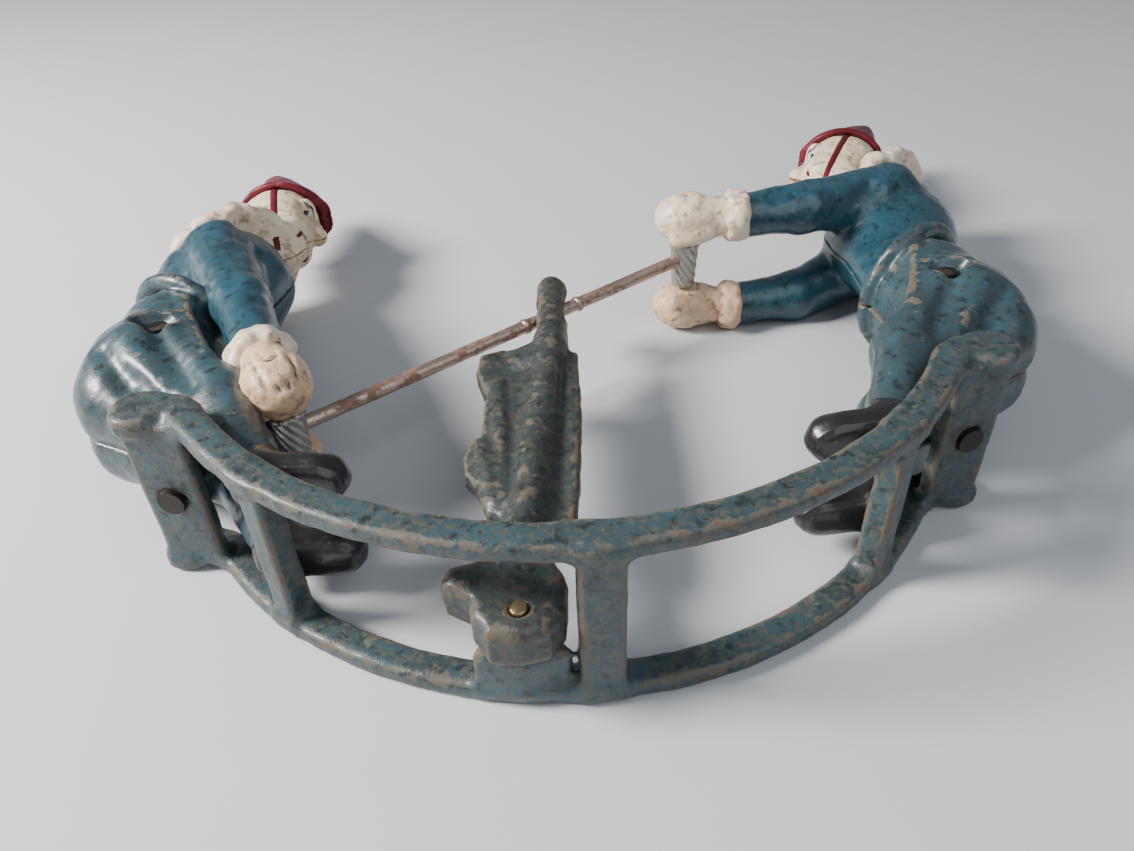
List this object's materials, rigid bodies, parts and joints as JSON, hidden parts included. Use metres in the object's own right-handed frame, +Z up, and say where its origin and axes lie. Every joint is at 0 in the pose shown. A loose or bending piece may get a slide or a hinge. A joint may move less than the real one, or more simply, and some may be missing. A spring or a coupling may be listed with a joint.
{
  "type": "cast-iron rocker toy with two jointed clowns",
  "caption": "Worn cast-iron crescent rocker toy lying on its side: two teal clowns in cream ruffs push and pull a steel rod that swings a ribbed lever.",
  "frame": {"origin": "middle of the overall box, on the plane that the far rail lies on", "axes": "+X from the left clown to the right one, +Y from the crescent's convex edge towards the heads, +Z up through the toy's width"},
  "size_m": [0.2299, 0.2169, 0.039],
  "materials": {
    "teal_enamel": "worn gloss enamel over cast iron",
    "cream_paint": "chipped satin enamel",
    "crimson_paint": "gloss enamel",
    "black_paint": "gloss enamel",
    "lever_iron": "enamel rubbed down to dark iron",
    "rod_steel": "worn, lightly rusted",
    "steel_wire": "dull",
    "brass_pin": "tarnished"
  },
  "bodies": {
    "cradle": {"cradle_frame": "teal_enamel", "lever_pin": "brass_pin", "hip_pin_left": "steel_wire", "seat_rivet_left": "steel_wire", "near_trousers_left": "teal_enamel", "far_trousers_left": "teal_enamel", "hip_pin_right": "steel_wire", "seat_rivet_right": "steel_wire", "near_trousers_right": "teal_enamel", "far_trousers_right": "teal_enamel"},
    "left_clown": {"near_jacket_left": "teal_enamel", "far_jacket_left": "teal_enamel", "grip_pin_left": "steel_wire"},
    "right_clown": {"near_jacket_right": "teal_enamel", "far_jacket_right": "teal_enamel", "grip_pin_right": "steel_wire"},
    "rod": {"push_rod": "rod_steel", "grip_spool_left": "steel_wire", "grip_spool_right": "steel_wire", "rod_stake_left": "rod_steel", "rod_stake_right": "rod_steel"},
    "lever": {"swing_lever": "lever_iron"}
  },
  "joints": [
    {"name": "left_lean", "type": "hinge", "parent": "cradle", "child": "left_clown", "pos_m": [-0.093, -0.025, 0.0195], "axis": [0, 0, 1], "range_deg": [-1, 12]},
    {"name": "right_lean", "type": "hinge", "parent": "cradle", "child": "right_clown", "pos_m": [0.083, -0.025, 0.0195], "axis": [0, 0, 1], "range_deg": [-7, 1]},
    {"name": "rod_swing", "type": "hinge", "parent": "right_clown", "child": "rod", "pos_m": [0.031, 0.016, 0.0195], "axis": [0, 0, 1], "range_deg": [-1, 7]},
    {"name": "lever_swing", "type": "hinge", "parent": "cradle", "child": "lever", "pos_m": [-0.0178, -0.103, 0.0195], "axis": [0, 0, 1], "range_deg": [-3.5, 0.5]}
  ],
  "couplings": [
    {"joint": "right_lean", "follows": "left_lean", "ratio": -0.537},
    {"joint": "rod_swing", "follows": "left_lean", "ratio": 0.49},
    {"joint": "lever_swing", "follows": "left_lean", "ratio": -0.25}
  ]
}
